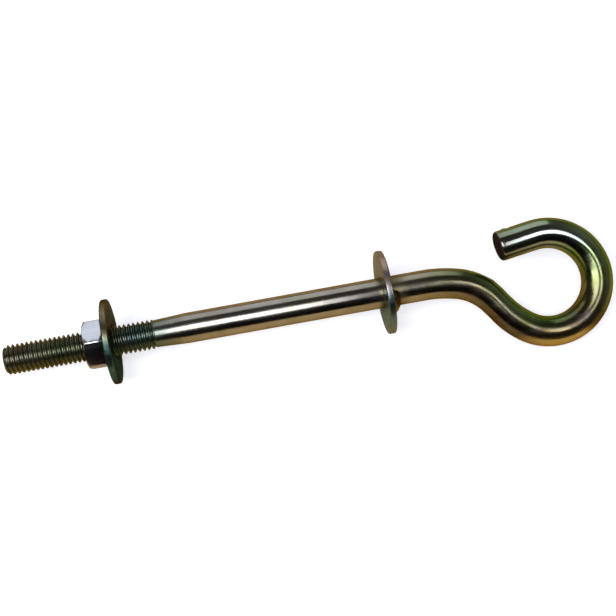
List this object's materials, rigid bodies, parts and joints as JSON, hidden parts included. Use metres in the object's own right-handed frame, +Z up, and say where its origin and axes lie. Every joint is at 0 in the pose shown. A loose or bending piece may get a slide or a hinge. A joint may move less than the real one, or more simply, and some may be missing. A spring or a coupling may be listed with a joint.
{
  "type": "hook bolt",
  "caption": "Bent steel rod with an open round hook at one end and a rolled thread at the other, a welded collar washer, a loose washer and a hex nut.",
  "frame": {"origin": "centre of the bounding box at its underside, on the surface that the part lies on", "axes": "+X along the rod, from the threaded end to the hook; +Z up from the surface; +Y to the raised side of the hook, where its tip is"},
  "size_m": [0.2542, 0.05, 0.0357],
  "materials": {
    "rod": "bright zinc plating with yellow and olive tints",
    "collar": "zinc plating, dulled and tanned beside the weld",
    "weld": "plated weld metal with fine ripples",
    "washer": "zinc plating, olive and brown tints",
    "nut": "bright zinc plating"
  },
  "bodies": {
    "bolt": {"hook_bolt": "rod", "collar_washer": "collar", "weld_bead": "weld"},
    "washer": {"loose_washer": "washer"},
    "nut": {"hex_nut": "nut"}
  },
  "joints": [
    {"name": "washer_slide", "type": "slide", "parent": "bolt", "child": "washer", "axis": [1, 0, 0], "range_m": [-0.0339, 0.0187]},
    {"name": "nut_turn", "type": "hinge", "parent": "washer", "child": "nut", "pos_m": [-0.08856, 0.00711, 0.01785], "axis": [1, 0, 0], "range_deg": [-6246, 3446]}
  ],
  "couplings": [
    {"joint": "nut_turn", "follows": "washer_slide", "rad_per_m": 3215.6}
  ]
}
